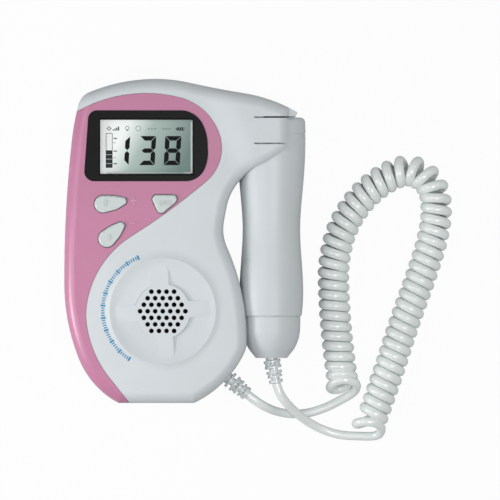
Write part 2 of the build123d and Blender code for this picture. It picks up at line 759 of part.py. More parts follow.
with BuildPart() as earphone_jack:
    with BuildSketch(Plane.XZ.offset(-BAY_LOW)):
        with Locations((JACK_X, JACK_Z)):
            Rectangle(JACK_W, JACK_H)
    extrude(amount=-JACK_L + FIT)
    with BuildSketch(Plane.XZ.offset(-CASE_BOTTOM)):
        with Locations((JACK_X, JACK_Z)):
            Circle(JACK_NOSE_R)
    extrude(amount=-WALL)
    with BuildSketch(Plane.XZ.offset(-CASE_BOTTOM)):
        with Locations((JACK_X, JACK_Z)):
            Circle(JACK_R)
    extrude(amount=-JACK_L, mode=Mode.SUBTRACT)
write(earphone_jack, "earphone_jack")

# ================================================================ loudspeaker
SPEAKER_PLANE = Plane(origin=(*SPEAKER, 0), x_dir=(1, 0, 0), z_dir=(0, -1, 0))
SPEAKER_AXIS = Axis((*SPEAKER, 0), (0, 0, 1))
PLATE_Z = SPEAKER_BACK + MAGNET_T  # back of the basket
CONE_R = SPEAKER_R - FLANGE_W - DOCK_GAP
with BuildPart() as speaker_magnet:
    with BuildSketch(Plane.XY.offset(SPEAKER_BACK)):
        with Locations(SPEAKER):
            Circle(MAGNET_R)
    extrude(amount=MAGNET_T)
    chamfer(speaker_magnet.faces().sort_by(Axis.Z)[0].edges(), 0.4)
write(speaker_magnet, "speaker_magnet")

with BuildPart() as speaker_frame:
    with BuildSketch(SPEAKER_PLANE):
        with BuildLine():
            Polyline(
                (0, PLATE_Z),
                (MAGNET_R + 1, PLATE_Z),
                (SPEAKER_R - FLANGE_W + BASKET_T, SPEAKER_FACE - 2.0),
                (SPEAKER_R, SPEAKER_FACE - 1.0),
                (SPEAKER_R, SPEAKER_FACE),
                (SPEAKER_R - FLANGE_W, SPEAKER_FACE),
                (SPEAKER_R - FLANGE_W, SPEAKER_FACE - 2.0),
                (MAGNET_R, PLATE_Z + BASKET_T),
                (0, PLATE_Z + BASKET_T),
                close=True,
            )
        make_face()
    revolve(axis=SPEAKER_AXIS)
write(speaker_frame, "speaker_frame")

with BuildPart() as speaker_cone:
    cone_top = SPEAKER_FACE - CONE_TRAVEL - FIT
    coil_r = MAGNET_R / 2
    coil_low = PLATE_Z + BASKET_T + CONE_TRAVEL + FIT
    with BuildSketch(SPEAKER_PLANE):
        with BuildLine():
            Polyline(
                (CONE_R, cone_top - CONE_T),
                (CONE_R, cone_top),
                (CONE_R - 1.5, cone_top),
                (coil_r + CONE_T, coil_low + 1.6),
                (0, coil_low + 2.4),
                (0, coil_low + 2.4 - CONE_T),
                (coil_r, coil_low + 1.1),
                (coil_r, coil_low),
                (coil_r + CONE_T, coil_low),
                (coil_r + CONE_T, coil_low + 1.0),
                (CONE_R - 1.2, cone_top - CONE_T),
                close=True,
            )
        make_face()
    revolve(axis=SPEAKER_AXIS)
write(speaker_cone, "speaker_cone")

# ================================================================ probe
GRIP_BORE = GRIP_R - PROBE_WALL  # narrowest bore of the handle
HEAD_SPIGOT_R = HEAD_R - PROBE_WALL - 4 * FIT
TAIL_SPIGOT_R = TAIL_R - PROBE_WALL + 2 * FIT


def handle_line(inset=0.0):
    """The long side of the handle, from the head cap to the tail cap."""
    return Spline(
        (HEAD_R - FIT - inset, HEAD_SEAM),
        (HEEL_R + FIT - inset, 0.55 * HEAD_SEAM),
        (GRIP_R - inset, 5.0),
        (HEEL_R - inset, -22.0),
        (TAIL_R + 0.5 - inset, TAIL_SEAM),
    )


with BuildPart() as probe_handle:
    with BuildSketch(PROBE_PLANE):
        with BuildLine():
            outside = handle_line()
            inside = handle_line(PROBE_WALL)
            Line(outside @ 0, inside @ 0)
            Line(outside @ 1, inside @ 1)
        make_face()
    revolve(axis=PROBE_AXIS)
write(probe_handle, "probe_handle")

with BuildPart() as probe_head_cap:
    bore = HEAD_SPIGOT_R - FACE_T
    groove_high = HEAD_SEAM - SEAL_W / 2
    with BuildSketch(PROBE_PLANE):
        with BuildLine():
            side = Line((HEAD_R, HEAD_SEAM), (HEAD_R - 2 * FIT, HEAD_TOP - 2.0))
            shoulder = TangentArc(side @ 1, (HEAD_R - 2.2, HEAD_TOP), tangent=side % 1)
            Polyline(
                shoulder @ 1,
                (0, HEAD_TOP),
                (0, HEAD_TOP - FACE_T),
                (bore, HEAD_TOP - FACE_T),
                (bore, HEAD_SEAM - SPIGOT_L),
                (HEAD_SPIGOT_R, HEAD_SEAM - SPIGOT_L),
                (HEAD_SPIGOT_R, groove_high - SEAL_W),
                (HEAD_SPIGOT_R - SEAL_T, groove_high - SEAL_W),
                (HEAD_SPIGOT_R - SEAL_T, groove_high),
                (HEAD_SPIGOT_R, groove_high),
                (HEAD_SPIGOT_R, HEAD_SEAM),
                side @ 0,
            )
        make_face()
    revolve(axis=PROBE_AXIS)
write(probe_head_cap, "probe_head_cap")

with BuildPart() as probe_seal:
    with BuildSketch(PROBE_PLANE):
        with Locations((HEAD_SPIGOT_R - SEAL_T / 2 + FIT / 2, groove_high - SEAL_W / 2)):
            Rectangle(SEAL_T + FIT, SEAL_W - FIT)
    revolve(axis=PROBE_AXIS)
write(probe_seal, "probe_seal")

with BuildPart() as probe_tail_cap:
    with BuildSketch(PROBE_PLANE):
        with BuildLine():
            side = Line((TAIL_R, TAIL_SEAM), (TAIL_R - FIT, TAIL_SEAM - 5.0))
            heel = TangentArc(side @ 1, (TAIL_TIP_R + 2.7, TAIL_END + 3.4), tangent=side % 1)
            foot = Line(heel @ 1, (TAIL_TIP_R, TAIL_END))
            Polyline(
                foot @ 1,
                (0, TAIL_END),
                (0, TAIL_END + PROBE_WALL),
                (TAIL_TIP_R - PROBE_WALL / 2, TAIL_END + PROBE_WALL),
                (TAIL_SPIGOT_R - PROBE_WALL, TAIL_SEAM - 5.0),
                (TAIL_SPIGOT_R - PROBE_WALL, TAIL_SEAM + SPIGOT_L),
                (TAIL_SPIGOT_R, TAIL_SEAM + SPIGOT_L),
                (TAIL_SPIGOT_R, TAIL_SEAM),
                side @ 0,
            )
        make_face()
    revolve(axis=PROBE_AXIS)
    with BuildSketch(PROBE_OUTLET.offset(-2 * WALL)):
        Circle(NECK_R + FIT)
    extrude(amount=4 * WALL, mode=Mode.SUBTRACT)
write(probe_tail_cap, "probe_tail_cap")

SOUND_PLANE = Plane.XZ.offset(-HEAD_TOP + FACE_T)  # back of the sound face
with BuildPart() as transducer_crystals:
    with BuildSketch(SOUND_PLANE):
        with Locations((PROBE_X, PROBE_Z)):
            Circle(bore - FIT)
            Rectangle(CRYSTAL_GAP, 2 * bore, mode=Mode.SUBTRACT)
    extrude(amount=CRYSTAL_T)
write(transducer_crystals, "transducer_crystals")

with BuildPart() as transducer_backing:
    with BuildSketch(SOUND_PLANE.offset(CRYSTAL_T)):
        with Locations((PROBE_X, PROBE_Z)):
            Circle(bore - FIT)
    extrude(amount=BACKING_T)
write(transducer_backing, "transducer_backing")

with BuildPart() as probe_board:
    with BuildSketch(PROBE_PLANE.offset(-PROBE_BOARD_T / 2)):
        with Locations((0, sum(PROBE_BOARD_Y) / 2)):
            Rectangle(2 * (GRIP_BORE - 2 * FIT), PROBE_BOARD_Y[1] - PROBE_BOARD_Y[0])
    extrude(amount=PROBE_BOARD_T)
write(probe_board, "probe_board")


# ================================================================ strain reliefs and cord
def make_relief(name, outlet, wall, length):
    """A ribbed boot: flange behind the wall, neck through it, and tapering rings."""
    behind = -wall - FLANGE_T
    first_ring = RUN_GAP + RELIEF_R / 5
    pitch = (length - first_ring) / RELIEF_RINGS
    with BuildPart() as relief:
        with BuildSketch(outlet.offset(behind)):
            Circle(RELIEF_R)
        extrude(amount=FLANGE_T)
        with BuildSketch(outlet.offset(behind)):
            Circle(NECK_R)
        extrude(amount=length - behind)
        for ring in range(RELIEF_RINGS):
            taper = ring / (RELIEF_RINGS - 1)
            with BuildSketch(outlet.offset(length - (RELIEF_RINGS - ring - 0.4) * pitch)):
                Circle(RELIEF_R + (RELIEF_TIP_R - RELIEF_R) * taper)
            extrude(amount=0.6 * pitch)
            rims = relief.edges(Select.LAST).filter_by(lambda edge: edge.length > 7 * NECK_R)
            fillet(rims, 1.5 * FIT)
    write(relief, name)


make_relief("unit_strain_relief", UNIT_OUTLET, WALL + 5 * FIT, UNIT_RELIEF_L)
make_relief("probe_strain_relief", PROBE_OUTLET, PROBE_WALL + 9 * FIT, PROBE_RELIEF_L)


def off_coil(end, inner, side, height, out=0.0):
    """A point on an end face of the coil, or straight out from it."""
    along = (Vector(*end) - Vector(*inner)).normalized()
    across = Vector(-along.Y, along.X, 0)
    return Vector(*end, height) + across * side + along * out


def make_tube(name, route, diameter):
    """A tube along straight runs joined by tangent arcs, as large as the runs allow."""
    route = [Vector(*point) for point in route]
    runs = [b - a for a, b in zip(route, route[1:])]
    radii = [
        0.45 * min(a.length, b.length) / tan(radians(a.get_angle(b)) / 2)
        for a, b in zip(runs, runs[1:])
    ]
    with BuildPart() as tube:
        with BuildLine() as path:
            FilletPolyline(*route, radius=radii)
        with BuildSketch(Plane(origin=route[0], z_dir=runs[0])):
            Circle(diameter / 2)
        sweep()
    length = path.wires()[0].length
    area = pi * diameter**2 / 4
    ratio = tube.part.volume / area / length
    print(name, "length", round(length, 1), "volume to section times length", round(ratio, 4))
    print("  radii", *(round(radius, 1) for radius in radii))
    print("  route", *((round(p.X, 2), round(p.Y, 2), round(p.Z, 2)) for p in route))
    write(tube, name)


coil_head, coil_tail = COIL_ROUTE[:2], COIL_ROUTE[:-3:-1]
make_tube("cord_coil", [(*point, COIL_D / 2) for point in COIL_ROUTE], COIL_D)
make_tube(
    "cord_unit_lead",
    (
        UNIT_OUTLET.offset(UNIT_RELIEF_L).origin,
        UNIT_OUTLET.offset(UNIT_RELIEF_L + 5.5).origin,
        (35.6, -71.1, 10.8),
        (39.1, -72.7, 5.1),
        (45.0, -73.5, 1.9),
        (53.0, -74.0, 1.9),
        (60.3, -72.3, 1.9),
        (65.9, -68.9, 1.9),
        off_coil(*coil_head, 1.0, 2.2, 4.5),
        off_coil(*coil_head, 1.0, 2.2),
    ),
    CORD_D,
)
make_tube(
    "cord_probe_lead",
    (
        PROBE_OUTLET.offset(PROBE_RELIEF_L).origin,
        PROBE_OUTLET.offset(PROBE_RELIEF_L + 5.0).origin,
        (42.2, -69.4, 14.6),
        (46.4, -73.3, 9.8),
        (51.6, -77.4, 4.6),
        (58.4, -80.8, 1.9),
        (65.6, -82.6, 1.9),
        (73.2, -82.3, 1.9),
        off_coil(*coil_tail, 1.5, 2.2, 6.5),
        off_coil(*coil_tail, 1.5, 2.2),
    ),
    CORD_D,
)
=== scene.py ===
"""Looks of a pocket fetal doppler monitor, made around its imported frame."""

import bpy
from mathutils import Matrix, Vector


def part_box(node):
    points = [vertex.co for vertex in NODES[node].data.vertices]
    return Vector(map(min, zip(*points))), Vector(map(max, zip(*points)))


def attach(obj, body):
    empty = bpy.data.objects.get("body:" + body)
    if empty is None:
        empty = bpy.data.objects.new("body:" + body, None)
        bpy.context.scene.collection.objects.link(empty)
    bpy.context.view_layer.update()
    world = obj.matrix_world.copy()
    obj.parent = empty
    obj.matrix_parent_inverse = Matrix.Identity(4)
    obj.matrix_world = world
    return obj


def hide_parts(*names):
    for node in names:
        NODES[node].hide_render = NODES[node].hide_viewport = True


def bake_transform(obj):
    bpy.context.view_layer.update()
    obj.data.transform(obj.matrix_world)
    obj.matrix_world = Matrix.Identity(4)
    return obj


bl_info = {
    "name": "Fetal doppler monitor",
    "version": (1, 0, 0),
    "blender": (4, 5, 0),
    "location": "View3D > Sidebar > Doppler",
    "description": "Finishes and fine pieces of a pocket fetal doppler monitor",
    "category": "Object",
}

from math import cos, pi, radians, sin

import bmesh
import bpy
from mathutils import Matrix, Vector
from mathutils.bvhtree import BVHTree

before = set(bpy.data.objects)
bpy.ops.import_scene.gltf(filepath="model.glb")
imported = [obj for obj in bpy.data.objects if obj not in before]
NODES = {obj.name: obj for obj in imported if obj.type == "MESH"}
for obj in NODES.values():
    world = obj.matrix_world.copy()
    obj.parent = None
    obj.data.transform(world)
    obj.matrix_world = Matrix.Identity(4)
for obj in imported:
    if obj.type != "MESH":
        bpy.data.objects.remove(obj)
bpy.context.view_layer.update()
MM = 0.001

# Places in metres, in the frame of the part
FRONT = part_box("pink_panel")[1].z
LCD_LOW, LCD_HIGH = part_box("lcd_panel")
PROBE = sum(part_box("probe_handle"), Vector()) / 2

SHELL_SHARP = 28.0  # edges of a shell that bend more than this many degrees stay sharp
SEAM_HALF = 0.35 * MM  # half the width of the groove at a joint of the probe
SEAM_DEPTH = 0.3 * MM
SEAM_RIM = 1.0 * MM  # only what lies this near the outside is drawn in
ON_SEAM = 0.01 * MM  # a corner this near the joint lies on it
WELD = 0.002 * MM  # corners nearer than this are one


# ------------------------------------------------------------------ small helpers
def linear(code):
    """An sRGB hex colour as linear RGBA, by the sRGB curve."""
    parts = [int(code[i : i + 2], 16) / 255 for i in (1, 3, 5)]
    return (*(p / 12.92 if p <= 0.04045 else ((p + 0.055) / 1.055) ** 2.4 for p in parts), 1.0)


def add_node(tree, kind, inputs=None, **settings):
    """Adds a node; each input is a plain value or another node's output."""
    node = tree.nodes.new(kind)
    for name, value in settings.items():
        setattr(node, name, value)
    for name, value in (inputs or {}).items():
        if isinstance(value, bpy.types.NodeSocket):
            tree.links.new(value, node.inputs[name])
        else:
            node.inputs[name].default_value = value
    return node


def new_material(name):
    """An empty material and its node tree."""
    material = bpy.data.materials.new(name)
    material.use_nodes = True
    material.node_tree.nodes.clear()
    return material, material.node_tree


def object_place(tree):
    """The place on the object, in its own coordinates."""
    return add_node(tree, "ShaderNodeTexCoord").outputs["Object"]


def noise(tree, size, detail=2.0):
    """Soft noise with patches of the given size."""
    inputs = {"Vector": object_place(tree), "Scale": 1 / size, "Detail": detail}
    return add_node(tree, "ShaderNodeTexNoise", inputs).outputs["Fac"]


def grain(tree, size, height):
    """A bump like the spark-eroded skin of a mould, with grains of the given size."""
    inputs = {"Height": noise(tree, size), "Distance": height, "Strength": 1.0}
    return add_node(tree, "ShaderNodeBump", inputs).outputs[0]


def between(tree, factor, low, high):
    """A value that goes from low to high with a factor."""
    inputs = {"Value": factor, "To Min": low, "To Max": high}
    return add_node(tree, "ShaderNodeMapRange", inputs).outputs[0]


def share_from(tree, value, low, high):
    """How far a value has come from low to high, as a share."""
    inputs = {"Value": value, "From Min": low, "From Max": high}
    return add_node(tree, "ShaderNodeMapRange", inputs).outputs[0]


def along_axis(tree, name):
    """The place along the object's x, y or z axis."""
    return add_node(tree, "ShaderNodeSeparateXYZ", {"Vector": object_place(tree)}).outputs[name]


def ramp(tree, factor, *stops, interpolation="LINEAR"):
    """Colours along a factor; each stop is a position and a linear colour."""
    node = add_node(tree, "ShaderNodeValToRGB", {"Fac": factor})
    node.color_ramp.interpolation = interpolation
    first, last = node.color_ramp.elements
    first.position, first.color = stops[0]
    last.position, last.color = stops[-1]
    for position, colour in stops[1:-1]:
        node.color_ramp.elements.new(position).color = colour
    return node.outputs["Color"]


def drift(tree, colour, share, size):
    """A colour that fades to a darker share of itself over soft patches of the given size."""
    deep = (*(part * share for part in colour[:3]), 1.0)
    return ramp(tree, noise(tree, size, 1.0), (0.35, tuple(colour)), (0.65, deep))


def shade(material, tree, inputs):
    """Gives a material one surface with these inputs, and returns it."""
    shader = add_node(tree, "ShaderNodeBsdfPrincipled", inputs)
    add_node(tree, "ShaderNodeOutputMaterial", {"Surface": shader.outputs[0]})
    return material


def paint(node, material):
    """Gives a CAD node this material."""
    mesh = NODES[node].data
    mesh.materials.clear()
    mesh.materials.append(material)


def merged(node):
    """A bmesh of a CAD node with its loose triangles joined."""
    shape = bmesh.new()
    shape.from_mesh(NODES[node].data)
    bmesh.ops.remove_doubles(shape, verts=shape.verts, dist=WELD)
    return shape


def make_piece(name, shape, material, body, smooth=True):
    """Turns a bmesh into a finished piece that rides on a body."""
    mesh = bpy.data.meshes.new(name)
    shape.to_mesh(mesh)
    shape.free()
    mesh.materials.append(material)
    mesh.polygons.foreach_set("use_smooth", [smooth] * len(mesh.polygons))
    piece = bpy.data.objects.new(name, mesh)
    bpy.context.scene.collection.objects.link(piece)
    if body:
        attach(piece, body)
    return piece


def lift(shape, faces, height):
    """Makes solids of flat faces, this many metres high."""
    made = bmesh.ops.extrude_face_region(shape, geom=faces)["geom"]
    made = [part for part in made if isinstance(part, bmesh.types.BMVert)]
    bmesh.ops.translate(shape, verts=made, vec=(0, 0, height))
    bmesh.ops.recalc_face_normals(shape, faces=shape.faces)


def prism(shape, outline, low, high):
    """Adds an upright plate with this outline, all in millimetres."""
    face = shape.faces.new([shape.verts.new((x * MM, y * MM, low * MM)) for x, y in outline])
    lift(shape, [face], (high - low) * MM)


def bar(shape, x, y, width, height, low, high, turn=0.0):
    """Adds a rectangular plate about (x, y), all in millimetres."""
    turned = Matrix.Rotation(radians(turn), 2)
    corners = [(-1, -1), (1, -1), (1, 1), (-1, 1)]
    corners = [turned @ Vector((a * width / 2, b * height / 2)) for a, b in corners]
    prism(shape, [(x + corner.x, y + corner.y) for corner in corners], low, high)


def ring(shape, x, y, outer, inner, low, high, steps=32):
    """Adds a flat ring about (x, y), all in millimetres."""
    places = ((outer, low), (outer, high), (inner, high), (inner, low))
    corners = [shape.verts.new(((x + r) * MM, y * MM, z * MM)) for r, z in places]
    edges = [shape.edges.new((a, b)) for a, b in zip(corners, corners[1:] + corners[:1])]
    bmesh.ops.spin(
        shape, geom=corners + edges, cent=(x * MM, y * MM, 0), axis=(0, 0, 1), angle=2 * pi,
        steps=steps, use_merge=True, use_duplicate=False,
    )
    bmesh.ops.recalc_face_normals(shape, faces=shape.faces)


def press_seam(shape, y):
    """Draws in the rim of a round probe shell at y, so that a fine groove shows at the joint."""
    for cut in (y - SEAM_HALF, y + SEAM_HALF):
        everything = [*shape.verts, *shape.edges, *shape.faces]
        bmesh.ops.bisect_plane(
            shape, geom=everything, dist=WELD / 2, plane_co=(0, cut, 0), plane_no=(0, 1, 0)
        )
    rim = [vertex for vertex in shape.verts if abs(vertex.co.y - y) < ON_SEAM]
    away = [Vector((vertex.co.x - PROBE.x, 0, vertex.co.z - PROBE.z)) for vertex in rim]
    outer = max(way.length for way in away) - SEAM_RIM
    for vertex, way in zip(rim, away):
        if way.length > outer:
            vertex.co -= way.normalized() * SEAM_DEPTH


def mark_sharp(shape, limit):
    """Keeps the edges sharp that bend more than this many degrees."""
    for edge in shape.edges:
        edge.smooth = len(edge.link_faces) == 2 and edge.calc_face_angle(0.0) < radians(limit)


def even_shading(piece):
    """Evens the shading of a piece between its sharp edges."""
    piece.modifiers.new("even shading", "WEIGHTED_NORMAL").keep_sharp = True


def smooth_shell(node, material, body, seams=()):
    """A joined copy of a CAD shell, smooth but for its real edges."""
    shape = merged(node)
    for y in seams:
        press_seam(shape, y)
    mark_sharp(shape, SHELL_SHARP)
    shell = make_piece(f"{node}_skin", shape, material, body)
    even_shading(shell)
    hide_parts(node)


# ------------------------------------------------------------------ settings
def colour_property(name, code, description):
    """A colour setting with an sRGB hex default."""
    return bpy.props.FloatVectorProperty(
        name=name, description=description, subtype="COLOR", size=4, min=0.0, max=1.0,
        default=linear(code),
    )


def length_property(name, default, description):
    """A length setting in metres."""
    return bpy.props.FloatProperty(
        name=name, description=description, default=default, unit="LENGTH", precision=5
    )


class CaseLooks(bpy.types.PropertyGroup):
    """Colours of the case and the probe"""

    white: colour_property("White", "#CBD1D4", "Off-white plastic of the shells and the probe")
    keys: colour_property("Keys", "#C3CCCA", "Off-white plastic of the keys")
    pink: colour_property("Pink", "#BB7999", "Dusty pink plastic of the front panel")
    black: colour_property("Black", "#08090A", "Black plastic round the display")
    blue: colour_property("Blue", "#1A86B4", "Printed scale round the loudspeaker")


class CordSizes(bpy.types.PropertyGroup):
    """Sizes of the curly cord"""

    diameter: length_property("Diameter", 3.7 * MM, "Thickness of the cord itself")
    coil: length_property("Coil diameter", 12.95 * MM, "Outer diameter of the coil")
    wound: bpy.props.FloatProperty(
        name="Wound", description="How much wider the cord is where it is wound", default=1.13
    )
    fan: bpy.props.FloatProperty(
        name="Fan", description="How far the turns fan out round a bend", default=0.62
    )
    lean: bpy.props.FloatProperty(
        name="Lean", description="How far the first turn leans along the coil", default=0.35
    )
    white: colour_property("White", "#EBF1EF", "Soft white PVC of the cord")
    grey: colour_property("Grey white", "#D6DDDE", "Soft white PVC of the strain reliefs")


class DisplayLooks(bpy.types.PropertyGroup):
    """Sizes and colours of the display's marks"""

    digit_height: length_property("Digit height", 12.2 * MM, "Height of the large digits")
    digit_width: length_property("Digit width", 6.75 * MM, "Width of the large digits")
    stroke: length_property("Stroke", 1.9 * MM, "Width of a digit's strokes")
    ink: colour_property("Ink", "#0C0F11", "Dark liquid crystal")
    # bright, middle and dull paint the reflection on the cell; bright also paints the highlight on
    # its edges
    bright: colour_property("Bright", "#E6EBE9", "Lit side of the display")
    middle: colour_property("Middle", "#A0B2AB", "Display between its lit and shaded side")
    dull: colour_property("Dull", "#657B76", "Shaded side of the display")


class StageSettings(bpy.types.PropertyGroup):
    """Camera and lamps"""

    camera_height: length_property("Camera height", 4.0, "Height of the camera over the floor")
    view_width: length_property("View width", 210 * MM, "Width that the camera sees at the case")
    lamp: bpy.props.FloatProperty(
        name="Lamp", description="Power of the top lamp", default=7.2, unit="POWER"
    )


# ------------------------------------------------------------------ finishes
def moulded_abs(name, colour, roughness):
    """ABS from a spark-eroded tool: one even colour, satin, with a broad soft highlight.

    The real grain is about 0.05 mm; it is drawn at 0.6 mm here, or it wouldn't show at all.
    Handling leaves it a touch glossier in places.
    """
    material, tree = new_material(name)
    rubbed = noise(tree, 9 * MM)
    return shade(material, tree, {
        "Base Color": drift(tree, colour, 0.97, 25 * MM),
        "Roughness": between(tree, rubbed, roughness - 0.05, roughness + 0.05),
        "IOR": 1.53,
        "Normal": grain(tree, 0.6 * MM, 0.004 * MM),
    })


def gloss_black_abs(colour):
    """Black ABS from a polished tool: deep black, with a weak gloss."""
    material, tree = new_material("gloss_black_abs")
    return shade(material, tree, {
        "Base Color": drift(tree, colour, 0.85, 12 * MM),
        "Roughness": 0.34,
        "IOR": 1.53,
        "Specular IOR Level": 0.16,
        "Normal": grain(tree, 0.8 * MM, 0.002 * MM),
    })


def soft_pvc(name, colour):
    """Soft PVC, extruded or moulded: white and a little waxy, with small bright highlights."""
    material, tree = new_material(name)
    return shade(material, tree, {
        "Base Color": drift(tree, colour, 0.96, 15 * MM),
        "Roughness": 0.24,
        "IOR": 1.53,
        "Specular IOR Level": 1.0,
        "Normal": grain(tree, 1.2 * MM, 0.004 * MM),
    })


def clear_acrylic():
    """Clear cast acrylic: what lies behind it shows, under a faint gloss and a hint of smoke."""
    material, tree = new_material("clear_acrylic")
    haze = noise(tree, 6 * MM)
    return shade(material, tree, {
        "Base Color": linear("#0C0E10"),
        "Roughness": between(tree, haze, 0.04, 0.09),
        "IOR": 1.49,
        "Alpha": 0.04,
    })


def lcd_painted_reflection(looks):
    """Reflective liquid crystal cell, with a painted reflection that is bright towards one corner.

    The bright corner is the upper left one, and the cell goes grey green towards the lower right.
    The cell also glows a bit, a painted light that lifts the frame's shade on it.
    """
    material, tree = new_material("lcd_painted_reflection")
    # the painted reflection fades this way
    way = Vector((1.0, -0.55, 0.0)).normalized()
    inputs = {0: object_place(tree), 1: way}
    across = add_node(tree, "ShaderNodeVectorMath", inputs, operation="DOT_PRODUCT").outputs["Value"]
    start = Vector((LCD_LOW.x, LCD_HIGH.y, 0)).dot(way)
    end = Vector((LCD_HIGH.x, LCD_LOW.y, 0)).dot(way)
    colour = ramp(
        tree,
        share_from(tree, across, start, end),
        (0.27, tuple(looks.bright)),
        (0.46, tuple(looks.middle)),
        (0.84, tuple(looks.dull)),
    )
    return shade(material, tree, {
        "Base Color": colour,
        "Roughness": 0.3,
        "IOR": 1.5,
        # painted light: the cell glows a little, so that the frame's shade on it is lifted
        "Emission Color": colour,
        "Emission Strength": 0.27,
    })


def painted_edge_highlight(looks):
    """Painted highlight along the cell's edges: bright, duller to the right, bright again at its
    end.
    """
    material, tree = new_material("lcd_edge_painted_highlight")
    colour = ramp(
        tree,
        share_from(tree, along_axis(tree, "X"), LCD_LOW.x, LCD_HIGH.x),
        (0.3, tuple(looks.bright)),
        (0.85, linear("#A9BDB6")),
        (0.93, linear("#E6EDEA")),
    )
    return shade(material, tree, {"Base Color": colour, "Roughness": 0.2, "IOR": 1.5})


def crystal_ink(name, colour):
    """Liquid crystal that blocks the light: flat and dead matt, not quite even."""
    material, tree = new_material(name)
    return shade(material, tree, {
        "Base Color": drift(tree, colour, 0.8, 3 * MM),
        "Roughness": 0.6,
        "Specular IOR Level": 0.15,
    })


def printed_blue(colour):
    """Pad-printed ink: flat blue, a touch glossier than the plastic, its cover slightly uneven."""
    material, tree = new_material("pad_printed_blue")
    return shade(material, tree, {
        "Base Color": drift(tree, colour, 0.85, 0.8 * MM),
        "Roughness": 0.35,
    })


def solder_mask():
    """Circuit board: glossy green mask over copper lines about 1.2 mm apart."""
    material, tree = new_material("green_solder_mask")
    # at a scale of 1 the waves are about 0.3 m apart
    inputs = {"Vector": object_place(tree), "Scale": 0.3 / (1.2 * MM), "Distortion": 6.0}
    lines = add_node(tree, "ShaderNodeTexWave", inputs).outputs["Fac"]
    colour = ramp(tree, lines, (0.45, linear("#0F4A2A")), (0.55, linear("#17603A")))
    return shade(material, tree, {"Base Color": colour, "Roughness": 0.3})


def cell_jacket():
    """Steel AA cell in a plain printed jacket: deep blue with a silver band and bare ends."""
    material, tree = new_material("printed_cell_jacket")
    low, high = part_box("battery_cells")
    bare, blue, silver = linear("#B9BAB8"), linear("#22385C"), linear("#C8CBCD")
    colour = ramp(
        tree,
        share_from(tree, along_axis(tree, "Y"), low.y, high.y),
        (0.0, bare),
        (0.04, blue),
        (0.7, silver),
        (0.74, blue),
        (0.95, bare),
        interpolation="CONSTANT",
    )
    return shade(material, tree, {
        "Base Color": colour,
        "Roughness": 0.3,
        "Metallic": 0.6,
        "Normal": grain(tree, 1.0 * MM, 0.003 * MM),
    })


def plain(name, code, roughness, metallic=0.0, size=1.0 * MM):
    """A moulded, plated or pressed finish of one kind, with its own fine skin."""
    material, tree = new_material(name)
    return shade(material, tree, {
        "Base Color": drift(tree, linear(code), 0.88, 4 * size),
        "Roughness": roughness,
        "Metallic": metallic,
        "Normal": grain(tree, size, 0.01 * MM),
    })


# ------------------------------------------------------------------ cord
# Route of the cord in millimetres: out of the unit and once round loosely into the coil
UNIT_LEAD = (
    (26.17, -64.54, 14.0),
    (30.2, -67.8, 14.0),
    (35.0, -70.6, 10.8),
    (39.6, -72.3, 5.1),
    (45.5, -73.2, 1.95),
    (53.0, -72.6, 1.9),
    (60.5, -69.9, 1.9),
    (66.4, -66.7, 2.0),
    (70.9, -64.2, 2.9),
    (72.6, -61.4, 6.2),
    (71.3, -59.2, 10.2),
    (67.0, -58.2, 11.8),
    (62.9, -59.3, 10.2),
    (61.0, -61.5, 6.7),
    (61.6, -62.6, 3.3),
    (64.1, -62.8, 2.12),
    (67.2, -61.6, 2.12),
    (69.8, -60.0, 3.2),
)
COIL_HEIGHT = 6.77  # of the coil's axis, so that its turns just clear the floor
# Axis of the coil from above, along the middle of its turns
COIL_AXIS = (
    (66.2, -58.2),
    (63.9, -41.8),
    (62.5, -20.7),
    (62.5, -8.9),
    (65.6, 5.0),
    (73.2, 17.4),
    (83.3, 26.2),
    (93.3, 30.4),
    (100.2, 28.0),
    (104.9, 22.4),
    (106.1, 14.3),
    (105.2, 3.8),
    (100.7, -11.5),
    (91.8, -35.9),
    (85.5, -56.2),
    (78.9, -74.6),
)
# Route of the cord from the coil to the probe: once round loosely, and then its lead
PROBE_LEAD = (
    (76.3, -76.2, 2.1),
    (73.4, -77.2, 3.2),
    (71.8, -77.2, 6.6),
    (73.1, -76.4, 10.3),
    (77.2, -76.0, 11.7),
    (81.3, -76.9, 10.2),
    (83.0, -79.2, 6.4),
    (81.9, -81.85, 2.9),
    (78.6, -82.55, 1.95),
    (72.4, -82.35, 1.9),
    (67.0, -82.2, 1.9),
    (61.2, -80.9, 1.9),
    (55.3, -78.5, 3.4),
    (49.8, -75.0, 7.2),
    (45.3, -71.1, 11.8),
    (41.9, -67.4, 15.6),
    (39.5, -63.7, 17.2),
    (38.4, -60.0, 17.2),
)
TURNS = 48.75  # of the coil, between its two loose ends
TURN_POINTS = 16  # control points of each turn
AXIS_STEPS = 24  # steps of the coil's axis for each of its points
BEND_REACH = 40  # the bend at a step is taken over this many steps to each side
CORD_STEPS = 4  # steps of the cord for each of its control points
TAPER = 8  # the cord widens into the coil over this many points of a lead


def nurbs(name, points, steps, widths=None):
    """A curve object with one open NURBS spline through these control points, in metres."""
    data = bpy.data.curves.new(name, "CURVE")
    data.dimensions = "3D"
    data.resolution_u = steps
    spline = data.splines.new("NURBS")
    spline.points.add(len(points) - 1)
    for number, place in enumerate(points):
        spline.points[number].co = (*place, 1.0)
        spline.points[number].radius = widths[number] if widths else 1.0
    spline.order_u = 3
    spline.use_endpoint_u = True
    curve = bpy.data.objects.new(name, data)
    bpy.context.scene.collection.objects.link(curve)
    return curve


def curve_mesh(curve):
    """A mesh of a curve as it stands."""
    return bpy.data.meshes.new_from_object(
        curve.evaluated_get(bpy.context.evaluated_depsgraph_get())
    )


def line_points(curve):
    """The points of a curve's smooth line."""
    line = curve_mesh(curve)
    points = [vertex.co.copy() for vertex in line.vertices]
    bpy.data.meshes.remove(line)
    return points


